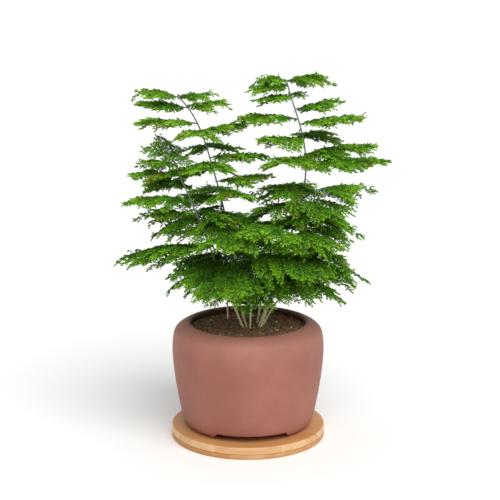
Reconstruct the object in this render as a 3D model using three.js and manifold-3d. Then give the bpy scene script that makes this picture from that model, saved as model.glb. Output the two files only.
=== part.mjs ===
// A lace fern (Asparagus setaceus) in a round clay pot on a bamboo board.
// Millimetres, +Z up. The origin is the middle of the board's underside.
import * as THREE from "three";
import { mergeVertices } from "three/addons/utils/BufferGeometryUtils.js";
import Module from "manifold-3d";

const wasm = await Module();
wasm.setup();

// Driving dimensions
const GAP = 0.3;                 // clearance between pieces that touch
const BOARD_R = 75;
const BOARD_H = 12;
const SEAM_Z = 5;                // height of the glue line between the two plies
const BOARD_EDGE = 1.2;          // easing of the board's outer edges
const BOARD_SEGMENTS = 48;
const POT_Z = BOARD_H + GAP;     // the pot's feet stand here
const FOOT_R = 57.5;
const FOOT_RING_W = 9;
const FOOT_H = 6.5;              // depth of the recess inside the foot ring
const FOOT_SLANT = 1;            // how far the ring's inner side leans
const SLOT_HALF_CHORD = 36;      // half the width of each cut-out between the feet
const SLOT_SLANT = 3;
const SLOT_TOP_Z = 6.2;          // height of the cut-outs above the board
const SLOT_NEAR = 20;            // a cut-out's tool starts this far from the axis
const SLOT_TURN = THREE.MathUtils.degToRad(3.6); // the front cut-out is this far round from -Y
const CUT_PAST = 1;              // cutting tools run this far past the face they open
const FLOOR_Z = 25;              // top of the pot's floor
const HOLE_R = 9;
const SOIL_Z = 109.5;             // height of the soil at the middle
const SOIL_FOOT_R = 49;
const CROWN = { x: 4, y: -3, r: 19, top: 108.5, depth: 15, edge: 2 };
const MESH_R = 16;
const MESH_T = 1.2;
const MESH_HOLE = 4.6;
const MESH_PITCH = 6.4;
const MESH_SEGMENTS = 24;
const POT_SEGMENTS = 40;
const OUTER_STEPS = 15;
const LIP_STEPS = 6;
const INNER_STEPS = 8;
const CANE_BASE_R = 1.3;
const CANE_TIP_R = 0.7;
const CANE_SIDES = 6;
const CANE_STEPS = 14;
const SPRAY_T = 1.8;             // thickness of a spray's plate along its rib
const SPRAY_STATIONS = 10;
const SPRAY_NOTCH = 0.84;        // width at the notches between side branches
const SPRAY_DOME = 0.28;         // how far the edges hang below the rib, per unit of half width
const STALK_HALF_W = 0.9;
const SWELL_START = 0.04;        // shares of a spray's length between which it widens
const SWELL_END = 0.3;
const TAPER = 0.75;
const FULLNESS = 1.25;           // makes up for the taper where the spray is widest
const MIN_SINE = 0.4;            // limits how far out a spray along its cane can start

const clay = () => new THREE.MeshStandardMaterial({ color: "#a66f60", roughness: 0.75, metalness: 0 });
const bamboo = (color) => new THREE.MeshStandardMaterial({ color, roughness: 0.5, metalness: 0 });
const earth = (color) => new THREE.MeshStandardMaterial({ color, roughness: 0.95, metalness: 0 });
const green = (color) => new THREE.MeshStandardMaterial({ color, roughness: 0.6, metalness: 0 });

const object = new THREE.Group();

function add(name, geometry, material) {
  const mesh = new THREE.Mesh(geometry, material);
  mesh.name = name;
  object.add(mesh);
}

// A turned body from [radius, height] points, with its axis along Z.
function turned(points, segments = POT_SEGMENTS) {
  const outline = points.map(([r, z]) => new THREE.Vector2(r, z));
  return new THREE.LatheGeometry(outline, segments).rotateX(Math.PI / 2);
}

// Points along a smooth curve through the given [radius, height] points.
function smooth(points, steps) {
  const curve = new THREE.SplineCurve(points.map(([r, z]) => new THREE.Vector2(r, z)));
  return curve.getPoints(steps).map((p) => [p.x, p.y]);
}

function toManifold(geometry) {
  const bare = geometry.clone();
  bare.deleteAttribute("normal");
  bare.deleteAttribute("uv");
  const merged = mergeVertices(bare, 1e-4);
  const vertProperties = new Float32Array(merged.attributes.position.array);
  const triVerts = new Uint32Array(merged.index.array);
  return new wasm.Manifold(new wasm.Mesh({ numProp: 3, vertProperties, triVerts }));
}

function fromManifold(solid) {
  const mesh = solid.getMesh();
  const geometry = new THREE.BufferGeometry();
  geometry.setAttribute("position", new THREE.BufferAttribute(mesh.vertProperties, 3));
  geometry.setIndex(new THREE.BufferAttribute(mesh.triVerts, 1));
  return geometry;
}

// A closed skin over rings of points, each ring running the same way round its path.
function loft(rings) {
  const count = rings[0].length;
  const index = [];
  for (let i = 0; i + 1 < rings.length; i++) {
    for (let j = 0; j < count; j++) {
      const a = i * count + j;
      const b = i * count + ((j + 1) % count);
      index.push(a, a + count, b + count, a, b + count, b);
    }
  }
  const last = (rings.length - 1) * count;
  for (let j = 1; j + 1 < count; j++) {
    index.push(0, j, j + 1, last, last + j + 1, last + j);
  }
  const geometry = new THREE.BufferGeometry().setFromPoints(rings.flat());
  geometry.setIndex(index);
  return geometry;
}

function boardPly(low, high, easeLow, easeHigh) {
  const outline = [[0, low], [BOARD_R - easeLow, low], [BOARD_R, low + easeLow]];
  outline.push([BOARD_R, high - easeHigh], [BOARD_R - easeHigh, high], [0, high]);
  const distinct = outline.filter(([r, z], i) => !i || r !== outline[i - 1][0] || z !== outline[i - 1][1]);
  return turned(distinct, BOARD_SEGMENTS);
}

// The wall outside, from the foot up over the shoulder to the rolled lip.
const OUTER = [
  [FOOT_R, 0], [62.6, 4.5], [65, 12], [67.7, 25], [70.9, 44], [73.3, 66], [73.6, 80],
  [72.3, 91], [69.8, 96], [65, 99.6], [60, 101.8],
];
// The wall inside, from under the lip down to the floor.
const LIP = [[60, 101.8], [57.4, 102.1], [55.8, 101.2], [55.5, 99.6], [57.4, 97], [62.5, 93]];
const INNER = [[62.5, 93], [66.3, 85], [67, 74], [65.5, 55], [62, 33], [57, 18], [50, FLOOR_Z - POT_Z]];

function potBody() {
  const inFoot = FOOT_R - FOOT_RING_W;
  const outline = [
    ...smooth(OUTER, OUTER_STEPS), ...smooth(LIP, LIP_STEPS).slice(1),
    ...smooth(INNER, INNER_STEPS).slice(1), [HOLE_R, FLOOR_Z - POT_Z], [HOLE_R, FOOT_H],
    [inFoot - FOOT_SLANT, FOOT_H], [inFoot, 0], [FOOT_R, 0],
  ];
  return turned(outline).translate(0, 0, POT_Z);
}

// A bar with slanted ends, lying across the foot ring towards -Y.
function slotCutter() {
  const depth = FOOT_R + FOOT_RING_W - SLOT_NEAR;
  const shape = new THREE.Shape([
    new THREE.Vector2(-SLOT_HALF_CHORD, -CUT_PAST), new THREE.Vector2(SLOT_HALF_CHORD, -CUT_PAST),
    new THREE.Vector2(SLOT_HALF_CHORD - SLOT_SLANT, SLOT_TOP_Z),
    new THREE.Vector2(SLOT_SLANT - SLOT_HALF_CHORD, SLOT_TOP_Z),
  ]);
  const bar = new THREE.ExtrudeGeometry(shape, { depth, bevelEnabled: false });
  return bar.rotateX(Math.PI / 2).translate(0, -SLOT_NEAR, POT_Z);
}

function pot() {
  let solid = toManifold(potBody());
  for (let i = 0; i < 3; i++) {
    solid = solid.subtract(toManifold(slotCutter().rotateZ(SLOT_TURN + (i * 2 * Math.PI) / 3)));
  }
  return fromManifold(solid);
}

// A round plastic screen with square holes, which keeps the soil off the drain hole.
function drainMesh() {
  let screen = toManifold(turned([[0, 0], [MESH_R, 0], [MESH_R, MESH_T], [0, MESH_T]], MESH_SEGMENTS));
  for (let i = -1; i <= 1; i++) {
    for (let j = -1; j <= 1; j++) {
      const hole = new THREE.BoxGeometry(MESH_HOLE, MESH_HOLE, 4 * MESH_T);
      screen = screen.subtract(toManifold(hole.translate(i * MESH_PITCH, j * MESH_PITCH, 0)));
    }
  }
  return fromManifold(screen).translate(0, 0, FLOOR_Z + GAP);
}

// The crown's side, as shares of its radius and of its depth.
const CROWN_SIDE = [[0, 0], [0.62, 0.15], [0.95, 0.55], [1, 0.93]];
// The top of the soil, as radius and height from its middle.
const SOIL_TOP = [[56.8, -0.9], [40, -0.4], [0, 0]];

// The woody crown that the canes grow from. Grown by a margin, it is the tool that cuts the soil.
function crown(margin) {
  const { x, y, r, top, depth, edge } = CROWN;
  const out = r + margin;
  const low = top - depth - margin;
  const high = margin ? SOIL_Z + CUT_PAST : top;
  const side = CROWN_SIDE.map(([across, up]) => [out * across, low + depth * up]);
  return turned([...side, [out - edge, high], [0, high]], MESH_SEGMENTS).translate(x, y, 0);
}

function soil() {
  const inside = smooth(INNER, INNER_STEPS).map(([r, z]) => [r - 2 * GAP, z + POT_Z]);
  const wall = inside.filter(([, z]) => z > FLOOR_Z + CUT_PAST).reverse();
  const meshTop = FLOOR_Z + MESH_T + 2 * GAP;
  const outline = [
    [0, meshTop], [MESH_R + GAP, meshTop], [MESH_R + GAP, FLOOR_Z + GAP], [SOIL_FOOT_R, FLOOR_Z + GAP],
    ...wall, ...SOIL_TOP.map(([r, z]) => [r, SOIL_Z + z]),
  ];
  return fromManifold(toManifold(turned(outline)).subtract(toManifold(crown(GAP))));
}

// Where a cane's middle line is, from its listed points.
function caneCurve(path) {
  return new THREE.CatmullRomCurve3(path.map((p) => new THREE.Vector3(...p)));
}

function caneRadius(t) {
  return CANE_BASE_R + (CANE_TIP_R - CANE_BASE_R) * t;
}

// A tapering six-sided rod along the curve, grown by a margin where it cuts a spray.
function cane(path, margin) {
  const curve = caneCurve(path);
  const rings = [];
  for (let i = 0; i <= CANE_STEPS; i++) {
    const t = i / CANE_STEPS;
    const along = curve.getTangentAt(t);
    const side = new THREE.Vector3().crossVectors(along, new THREE.Vector3(0, 1, 0)).normalize();
    const up = new THREE.Vector3().crossVectors(side, along);
    const middle = curve.getPointAt(t);
    const ring = [];
    for (let j = 0; j < CANE_SIDES; j++) {
      const a = (2 * Math.PI * j) / CANE_SIDES;
      const out = side.clone().multiplyScalar(Math.cos(a)).addScaledVector(up, Math.sin(a));
      ring.push(middle.clone().addScaledVector(out, caneRadius(t) + margin));
    }
    rings.push(ring);
  }
  return loft(rings);
}

// Where a spray leaves the cane at a given height: clear of the cane's side, however it leans.
function socket(path, height, out) {
  const curve = caneCurve(path);
  const shares = Array.from({ length: 201 }, (_, i) => i / 200);
  const t = shares.find((share) => curve.getPointAt(share).z >= height) ?? 1;
  const sine = new THREE.Vector3().crossVectors(curve.getTangentAt(t), out).length();
  const clear = (caneRadius(t) + SPRAY_T / 2 + GAP) / Math.max(sine, MIN_SINE);
  return curve.getPointAt(t).addScaledVector(out, clear);
}

// Half the width of a spray at share s of its length: a stalk, a quick swell, then a long taper.
function sprayHalfWidth(s, width) {
  const swell = THREE.MathUtils.smoothstep(s, SWELL_START, SWELL_END);
  const taper = Math.pow(1 - s, TAPER);
  return STALK_HALF_W + (width / 2 - STALK_HALF_W) * swell * taper * FULLNESS;
}

// A flat triangular frond: its rib rises from the cane and sags towards the tip, and its
// outline is notched between the side branches. roll lowers the side to its right.
function spray(path, [height, azimuth, length, width, rise, droop, roll]) {
  const rad = THREE.MathUtils.degToRad;
  const out = new THREE.Vector3(Math.cos(rad(azimuth)), Math.sin(rad(azimuth)), 0);
  const start = socket(path, height, out);
  const rings = [];
  for (let i = 0; i <= SPRAY_STATIONS; i++) {
    const s = i / SPRAY_STATIONS;
    const lift = Math.tan(rad(rise)) * length * s - droop * s * s;
    const slope = Math.tan(rad(rise)) - (2 * droop * s) / length;
    const middle = start.clone().addScaledVector(out, length * s);
    middle.z += lift;
    const along = out.clone().setZ(slope).normalize();
    const flat = new THREE.Vector3().crossVectors(along, new THREE.Vector3(0, 0, 1)).normalize();
    const side = flat.applyAxisAngle(along, rad(-roll));
    const up = new THREE.Vector3().crossVectors(side, along);
    const half = sprayHalfWidth(s, width) * (i && i % 2 === 0 ? SPRAY_NOTCH : 1);
    const sag = (half - STALK_HALF_W) * SPRAY_DOME;
    rings.push([
      middle.clone().addScaledVector(side, half).addScaledVector(up, -sag),
      middle.clone().addScaledVector(up, SPRAY_T / 2),
      middle.clone().addScaledVector(side, -half).addScaledVector(up, -sag),
      middle.clone().addScaledVector(up, -SPRAY_T / 2),
    ]);
  }
  return loft(rings);
}

// A spray with a hole or a notch wherever another cane grows up through it. If that cuts a
// corner off it, the biggest part is kept.
function givingWay(plate, sleeves) {
  const whole = toManifold(plate);
  const cut = sleeves.reduce((left, sleeve) => left.subtract(sleeve), whole);
  if (cut.volume() === whole.volume()) return plate;
  const parts = cut.decompose().sort((a, b) => b.volume() - a.volume());
  return fromManifold(parts[0]);
}

// Each cane's middle line, and its sprays as [height on the cane, compass direction from +X,
// length, width, rise in degrees, sag at the tip, roll in degrees].
const CANES = {
  left_tall: {
    path: [[-1, -6, 109.5], [-8, -2, 134], [-14, 3, 172], [-21, 0, 217], [-36, 2, 272], [-44, 3, 300],
      [-50, 2, 311], [-65, -3, 332]],
    sprays: [
      [332, 176, 38, 56, 26, 17, -6], [321, 169, 46, 44, 14, 10, -4], [323, 8, 38, 42, 10, 6, 6],
      [306, 189, 56, 46, 12, 12, -6], [300, 2, 42, 44, 16, 7, 6], [298, -98, 46, 46, 12, 8, 0],
      [283, 80, 50, 66, 4, 8, 0], [274, -9, 52, 46, 13, 9, 6], [268, -95, 54, 66, 14, 12, 0],
      [251, -1, 52, 56, 14, 9, 6], [240, -57, 44, 54, 14, 9, 4],
    ],
  },
  left_front: {
    path: [[-4, -10, 109.5], [-12, -8, 127], [-31, -10, 175], [-47, -20, 221], [-57, -25, 246], [-67, -24, 270],
      [-72, -22, 282]],
    sprays: [
      [281, 120, 26, 42, 34, 6, -6], [271, 183, 31, 40, 16, 8, -6], [260, 184, 44, 50, 16, 11, -6],
      [249, 133, 50, 58, 12, 10, 0], [238, 195, 61, 60, 15, 17, -8],
    ],
  },
  right_tall: {
    path: [[10, -4, 109.5], [16, -1, 125], [32, 9, 171], [49, 8, 226], [56, 8, 250], [54, 7, 275], [48, 5, 309],
      [42, 3, 327], [36, 0, 347]],
    sprays: [
      [345, 186, 29, 56, 34, 22, -10], [347, 8, 43, 60, 22, 23, 10], [331, 204, 33, 52, 14, 10, -8],
      [319, 8, 42, 42, 17, 7, 6], [310, 189, 56, 48, 13, 12, -6], [305, -3, 58, 46, 15, 10, 6],
      [290, 211, 46, 60, 14, 10, -6], [290, 60, 46, 60, 12, 9, 0], [272, -121, 58, 66, 13, 12, -4],
      [276, 15, 70, 58, 15, 13, 4], [266, -18, 80, 76, 15, 15, 6], [245, 200, 52, 88, 12, 16, -8],
      [228, 215, 56, 84, 12, 18, -8],
    ],
  },
  right_front: {
    path: [[12, -9, 109.5], [21, -9, 135], [40, -10, 175], [57, -20, 218], [64, -22, 248]],
    sprays: [
      [247, -3, 54, 94, 16, 17, 14], [206, -92, 60, 78, 12, 18, 0], [222, 4, 48, 88, -2, 20, 20],
    ],
  },
  left_low: {
    path: [[-6, -2, 109.5], [-14, 5, 132], [-26, 14, 164], [-36, 12, 192], [-43, 10, 216]],
    sprays: [
      [214, 176, 66, 100, 18, 24, -22], [185, 202, 96, 96, 14, 30, -16], [168, 180, 48, 88, -12, 18, -8],
    ],
  },
  right_low: {
    path: [[14, -1, 109.5], [24, 5, 126], [40, 14, 146], [54, 10, 162], [64, 6, 169]],
    sprays: [[168, -14, 50, 96, 8, 20, 16], [154, -26, 48, 80, -4, 16, 6]],
  },
  front: {
    path: [[2, -12, 109.5], [3, -15, 137], [4, -22, 170], [6, -38, 203], [7, -48, 222]],
    sprays: [
      [182, -123, 80, 84, -4, 20, -6], [210, -140, 64, 80, 8, 18, -6], [219, -62, 54, 70, 8, 16, 6],
      [188, -35, 80, 84, 6, 24, 6],
    ],
  },
  back_left: {
    path: [[-20, 24, 110.2], [-21, 34, 136], [-23, 47, 173], [-26, 53, 211], [-28, 57, 231]],
    sprays: [[231, 112, 46, 76, 8, 10, 0], [202, 72, 54, 80, 10, 14, 0]],
  },
  back_right: {
    path: [[9, 9, 109.5], [14, 24, 135], [22, 42, 172], [29, 52, 215], [32, 56, 235]],
    sprays: [[234, 50, 52, 80, 10, 12, 0], [197, 80, 54, 80, 6, 14, 0]],
  },
};

function build() {
  add("board_lower_ply", boardPly(0, SEAM_Z - GAP / 2, BOARD_EDGE, 0), bamboo("#cf9a64"));
  add("board_upper_ply", boardPly(SEAM_Z + GAP / 2, BOARD_H, 0, BOARD_EDGE), bamboo("#d9ab74"));
  add("pot", pot(), clay());
  add("drain_mesh", drainMesh(), new THREE.MeshStandardMaterial({ color: "#2c2c2a", roughness: 0.6 }));
  add("soil", soil(), earth("#40352a"));
  add("root_crown", crown(0), earth("#6b5540"));
  const sleeves = Object.values(CANES).map(({ path }) => toManifold(cane(path, GAP)));
  for (const [name, { path, sprays }] of Object.entries(CANES)) {
    add(`cane_${name}`, cane(path, 0), green("#8f9a63"));
    sprays.forEach((shape, i) => {
      add(`spray_${name}_${i + 1}`, givingWay(spray(path, shape), sleeves), green("#4f8f2a"));
    });
  }
}

build();

export default object;
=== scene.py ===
"""A potted lace fern on its bamboo board.

Laid out as an add-on: each piece, or group of like pieces, has an operator, the sizes and
colours are settings on the scene, and a sidebar panel lists them. Everything is in metres,
+Z up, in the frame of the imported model, with the board's underside at the origin.
"""

import math

import bpy
import numpy as np
from bpy.props import FloatProperty, FloatVectorProperty, IntProperty, PointerProperty
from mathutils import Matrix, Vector


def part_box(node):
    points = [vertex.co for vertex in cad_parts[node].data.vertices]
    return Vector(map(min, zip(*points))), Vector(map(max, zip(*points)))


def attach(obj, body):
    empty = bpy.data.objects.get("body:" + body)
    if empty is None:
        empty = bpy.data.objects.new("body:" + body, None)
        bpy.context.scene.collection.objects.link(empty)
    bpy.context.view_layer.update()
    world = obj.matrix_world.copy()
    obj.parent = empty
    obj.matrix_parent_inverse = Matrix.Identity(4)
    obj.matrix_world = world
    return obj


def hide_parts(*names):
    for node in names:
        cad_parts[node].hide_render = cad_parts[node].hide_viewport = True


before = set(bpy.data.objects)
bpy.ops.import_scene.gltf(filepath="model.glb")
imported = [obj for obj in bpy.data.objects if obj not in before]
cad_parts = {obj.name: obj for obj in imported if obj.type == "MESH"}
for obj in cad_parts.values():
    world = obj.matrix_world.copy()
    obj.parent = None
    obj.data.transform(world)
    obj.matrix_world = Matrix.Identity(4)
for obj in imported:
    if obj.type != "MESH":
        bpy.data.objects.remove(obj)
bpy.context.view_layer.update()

bl_info = {
    "name": "Potted lace fern",
    "version": (1, 0, 0),
    "blender": (4, 5, 0),
    "location": "3D View > Sidebar > Fern",
    "description": "Builds a potted lace fern, its clay pot and its bamboo board",
    "category": "Add Mesh",
}

MM = 0.001
UP = np.array([0.0, 0.0, 1.0])
BAKE_MAP = "OFBake"
WAVES = 5  # sine waves to an octave of ripple()


# ---------------------------------------------------------------- colours and shaders


def srgb(red, green, blue):
    """A colour given in the usual 0 to 255 steps, as linear light."""
    share = np.array([red, green, blue]) / 255
    linear = np.where(share <= 0.04045, share / 12.92, ((share + 0.055) / 1.055) ** 2.4)
    return tuple(float(part) for part in linear)


def darker(colour, share):
    """A colour of linear light, times a share."""
    return tuple(share * part for part in colour)


class Signal:
    """A shader socket that Python arithmetic can be written on."""

    def __init__(self, shader, socket):
        self.shader = shader
        self.socket = socket

    def math(self, operation, *others, clamp=False):
        """This signal and the others through one Math node."""
        settings = {"operation": operation, "use_clamp": clamp}
        sockets = dict(enumerate((self, *others)))
        return self.shader.node("ShaderNodeMath", settings, sockets)

    def __add__(self, other):
        return self.math("ADD", other)

    def __sub__(self, other):
        return self.math("SUBTRACT", other)

    def __rsub__(self, other):
        return self.shader.node("ShaderNodeMath", {"operation": "SUBTRACT"}, {0: other, 1: self})

    def __mul__(self, other):
        return self.math("MULTIPLY", other)

    def __truediv__(self, other):
        return self.math("DIVIDE", other)

    def __pow__(self, other):
        return self.math("POWER", other)

    __radd__ = __add__
    __rmul__ = __mul__

    def clamped(self):
        """The signal kept between 0 and 1."""
        return self.math("ADD", 0.0, clamp=True)

    def step(self, low, high):
        """0 below low, 1 above high, and a smooth rise between."""
        settings = {"interpolation_type": "SMOOTHSTEP"}
        sockets = {"Value": self, "From Min": low, "From Max": high}
        return self.shader.node("ShaderNodeMapRange", settings, sockets)


class Shader:
    """A material under way. node() adds any node, and Signals add their own Math nodes."""

    def __init__(self, name, roughness=0.5, specular=0.5):
        self.material = bpy.data.materials.new(name)
        self.material.use_nodes = True
        self.tree = self.material.node_tree
        self.tree.nodes.clear()
        self.surface = self.tree.nodes.new("ShaderNodeBsdfPrincipled")
        output = self.tree.nodes.new("ShaderNodeOutputMaterial")
        self.tree.links.new(self.surface.outputs["BSDF"], output.inputs["Surface"])
        self.surface.inputs["Roughness"].default_value = roughness
        self.surface.inputs["Specular IOR Level"].default_value = specular

    def node(self, kind, settings=None, sockets=None, output=0):
        """Adds a node: its settings first, then its sockets' values or links; returns one output."""
        made = self.tree.nodes.new(kind)
        for key, value in (settings or {}).items():
            if key == "stops":
                self._set_stops(made.color_ramp, value)
            else:
                setattr(made, key, value)
        for key, value in (sockets or {}).items():
            self._feed(made.inputs[key], value)
        return Signal(self, made.outputs[output])

    def _set_stops(self, ramp, stops):
        """Gives a ramp its stops, each a place from 0 to 1 and a colour."""
        while len(ramp.elements) < len(stops):
            ramp.elements.new(0.5)
        for element, (place, colour) in zip(ramp.elements, stops):
            element.position = place
            element.color = (*colour, 1.0)

    def _feed(self, socket, value):
        """Links a signal to a socket, or sets the socket to a plain value."""
        if isinstance(value, Signal):
            self.tree.links.new(value.socket, socket)
        elif socket.type == "RGBA" and len(value) == 3:
            socket.default_value = (*value, 1.0)
        else:
            socket.default_value = value

    def place(self):
        """Object coordinates."""
        return self.node("ShaderNodeTexCoord", output="Object")

    def stretched(self, scale, turn=0.0):
        """Object coordinates, scaled by axis and turned about Z."""
        sockets = {"Vector": self.place(), "Scale": scale, "Rotation": (0, 0, turn)}
        return self.node("ShaderNodeMapping", None, sockets)

    def noise(self, scale, detail=4.0, roughness=0.5, vector=None):
        """Cloudy noise from 0 to 1, with its scale in cycles to a metre."""
        sockets = {"Vector": vector or self.place(), "Scale": scale, "Detail": detail, "Roughness": roughness}
        return self.node("ShaderNodeTexNoise", None, sockets)

    def cells(self, scale):
        """The distance to the nearest of many scattered points."""
        return self.node("ShaderNodeTexVoronoi", None, {"Vector": self.place(), "Scale": scale})

    def ramp(self, signal, stops):
        """A colour read off a row of stops."""
        return self.node("ShaderNodeValToRGB", {"stops": stops}, {"Fac": signal})

    def mix(self, share, first, second):
        """Two colours mixed by a share from 0 to 1."""
        settings = {"data_type": "RGBA"}
        return self.node("ShaderNodeMix", settings, {0: share, 6: first, 7: second}, output=2)

    def axis(self, signal, index):
        """One of a vector's three parts."""
        return self.node("ShaderNodeSeparateXYZ", None, {0: signal}, output=index)

    def finish(self, colour, roughness=None, height=None, depth=0.0, distance=MM):
        """Feeds the surface: its colour, its roughness and a bump from a height signal."""
        self._feed(self.surface.inputs["Base Color"], colour)
        if roughness is not None:
            self._feed(self.surface.inputs["Roughness"], roughness)
        if height is not None:
            sockets = {"Height": height, "Strength": depth, "Distance": distance}
            normal = self.node("ShaderNodeBump", None, sockets)
            self._feed(self.surface.inputs["Normal"], normal)
        return self.material


# ---------------------------------------------------------------- mesh making


def volume_of(points, faces):
    """The volume inside closed faces: a sixth of the sum of each fan triangle's triple product."""
    total = 0.0
    for group in faces:
        corner = points[group]
        for i in range(1, group.shape[1] - 1):
            cross = np.cross(corner[:, i], corner[:, i + 1])
            total += float((corner[:, 0] * cross).sum()) / 6
    return total


def make_piece(name, points, faces, material, stands_for=(), bake_map=None):
    """Puts whole arrays into a mesh: points is (n, 3), faces a list of (m, corners) index arrays.
    Closed skins whose volume comes out negative are turned so that they face outwards. stands_for
    names the solids that the piece replaces, and bake_map holds two map values for each point."""
    points = np.ascontiguousarray(points, dtype=np.float64).reshape(-1, 3)
    faces = [np.asarray(group, dtype=np.int32) for group in faces if len(group)]
    if volume_of(points - points.mean(0), faces) < 0:
        faces = [group[:, ::-1] for group in faces]
    corners = np.concatenate([group.ravel() for group in faces])
    sizes = np.concatenate([np.full(len(group), group.shape[1]) for group in faces])
    mesh = bpy.data.meshes.new(name)
    mesh.vertices.add(len(points))
    mesh.vertices.foreach_set("co", points.astype(np.float32).ravel())
    mesh.loops.add(len(corners))
    mesh.loops.foreach_set("vertex_index", corners)
    mesh.polygons.add(len(sizes))
    mesh.polygons.foreach_set("loop_start", (np.cumsum(sizes) - sizes).astype(np.int32))
    mesh.polygons.foreach_set("use_smooth", np.ones(len(sizes), dtype=bool))
    mesh.update(calc_edges=True)
    if bake_map is not None:
        layer = mesh.uv_layers.new(name=BAKE_MAP)
        layer.data.foreach_set("uv", bake_map[corners].astype(np.float32).ravel())
    mesh.materials.append(material)
    piece = bpy.data.objects.new(name, mesh)
    bpy.context.scene.collection.objects.link(piece)
    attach(piece, "root")
    if stands_for:
        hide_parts(*stands_for)
    return piece


def skin(rings, closed=False):
    """Quads over an (m, n, 3) stack of rings. A closed stack joins its last ring to its first,
    and an open one is capped by a fan round the middle of each end ring."""
    stack, around = rings.shape[:2]
    index = np.arange(stack * around).reshape(stack, around)
    if closed:
        index = np.vstack([index, index[:1]])
    low, high = index[:-1], index[1:]
    quads = np.stack([low, high, np.roll(high, -1, 1), np.roll(low, -1, 1)], -1).reshape(-1, 4)
    points = rings.reshape(-1, 3)
    if closed:
        return points, [quads]
    ends = np.stack([rings[0].mean(0), rings[-1].mean(0)])
    first, last = index[0], index[-1]
    start = np.stack([np.full(around, len(points)), first, np.roll(first, -1)], -1)
    stop = np.stack([np.full(around, len(points) + 1), np.roll(last, -1), last], -1)
    return np.vstack([points, ends]), [quads, start, stop]


def turned(profile, around):
    """Rings of a turned body: each (radius, height) row of the profile carried round Z."""
    angle = np.arange(around) * (2 * np.pi / around)
    radius, height = profile[:, :1], profile[:, 1:]
    ring = np.stack([radius * np.cos(angle), radius * np.sin(angle)], -1)
    return np.concatenate([ring, np.broadcast_to(height[..., None], (*ring.shape[:2], 1))], -1)


def unit(vectors):
    """Each row of an array of vectors, scaled to length 1."""
    return vectors / np.linalg.norm(vectors, axis=1)[:, None]


def circles_round(along, lean, sides):
    """A unit circle square to each direction: cosine and sine of even turns, on one axis square
    to both the direction and a leaning vector, and on another square to that one."""
    side = unit(np.cross(along, np.array(lean)))
    over = np.cross(side, along)
    turn = np.arange(sides) * (2 * np.pi / sides)
    return side[:, None] * np.cos(turn)[None, :, None] + over[:, None] * np.sin(turn)[None, :, None]


def smooth_line(points, count):
    """A smooth line through the given points: a Catmull-Rom spline, first worked out in 40 steps
    to a point and then spaced evenly by length."""
    points = np.asarray(points, dtype=float)
    padded = np.vstack([2 * points[0] - points[1], points, 2 * points[-1] - points[-2]])
    place = np.linspace(0, len(points) - 1, 40 * len(points))
    span = np.minimum(place.astype(int), len(points) - 2)
    t = (place - span)[:, None]
    a, b, c, d = (padded[span + k] for k in range(4))
    line = b + 0.5 * t * (c - a + t * (2 * a - 5 * b + 4 * c - d + t * (3 * (b - c) + d - a)))
    length = np.concatenate([[0], np.cumsum(np.linalg.norm(np.diff(line, axis=0), axis=1))])
    even = np.linspace(0, length[-1], count)
    return np.stack([np.interp(even, length, line[:, k]) for k in range(line.shape[1])], -1)


def smoothstep(value, low, high):
    """0 below low, 1 above high, and 3 t^2 - 2 t^3 of the share t between."""
    share = np.clip((value - low) / (high - low), 0, 1)
    return share * share * (3 - 2 * share)


def ripple(x, y, seed, scale, octaves):
    """Smooth random height over a plane: the sum of five sine waves in random directions for
    each octave, each octave half as long and half as high as the last, over five."""
    rng = np.random.default_rng(seed)
    height = np.zeros_like(x)
    for octave in range(octaves):
        for _ in range(WAVES):
            angle, phase = rng.uniform(0, 2 * np.pi, 2)
            pitch = 2 * np.pi * 2**octave / scale
            height += np.sin((x * np.cos(angle) + y * np.sin(angle)) * pitch + phase) / 2**octave
    return height / WAVES


def node_points(name):
    """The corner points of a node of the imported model, each once, in metres."""
    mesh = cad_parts[name].data
    flat = np.empty(len(mesh.vertices) * 3, dtype=np.float32)
    mesh.vertices.foreach_get("co", flat)
    return np.unique(np.round(flat.reshape(-1, 3).astype(float), 6), axis=0)


# ---------------------------------------------------------------- settings


def length(name, description, default):
    """A size in metres."""
    return FloatProperty(name=name, description=description, default=default, unit="LENGTH", precision=5)


def colour(name, description, default):
    """A colour, whose default is given in the usual 0 to 255 steps."""
    return FloatVectorProperty(
        name=name, description=description, default=srgb(*default), subtype="COLOR", min=0, max=1)


def amount(name, description, default, least=0):
    """A number of things."""
    return IntProperty(name=name, description=description, default=default, min=least)


class FernSettings(bpy.types.PropertyGroup):
    """Sizes and colours of the canes and fronds."""

    needle_length: length("Needle length", "Length of one thread-like leaf", 2.8 * MM)
    needle_radius: length("Needle radius", "Half the thickness of one thread-like leaf", 0.57 * MM)
    branch_pitch: length("Branch pitch", "Distance between side branches along a rib", 4.6 * MM)
    twig_pitch: length("Twig pitch", "Distance between twigs along a side branch", 2.2 * MM)
    twig_length: length("Twig length", "Length of a twig near the rib", 5.0 * MM)
    rib_radius: length("Rib radius", "Radius of a frond's rib at the cane", 0.6 * MM)
    cane_radius: length("Cane radius", "Radius of a cane at the soil", 0.9 * MM)
    cane_tip_radius: length("Cane tip radius", "Radius of a cane at its top", 0.65 * MM)
    needles: amount("Needles", "Leaves on one twig", 9, 1)
    shoot_needles: amount("Shoot needles", "Leaves on one twig of a small shoot", 7, 1)
    deep: colour("Deep green", "Old leaves, near the rib", (44, 86, 12))
    middle: colour("Middle green", "Most of the leaves", (94, 154, 22))
    bright: colour("Bright green", "Young leaves, towards the tips", (134, 192, 34))
    pale: colour("Pale tips", "The newest tips", (172, 212, 76))
    stem: colour("Stem green", "Ribs and twigs", (96, 124, 70))
    cane: colour("Cane", "The upper canes", (118, 138, 114))
    straw: colour("Straw", "The foot of each cane", (252, 240, 184))
    dry: colour("Dry brown", "The odd withered branch", (150, 112, 58))
    crown: colour("Crown", "The woody crown", (120, 92, 62))
    dark_crown: colour("Dark crown", "Mottling of the crown", (78, 58, 40))


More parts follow.
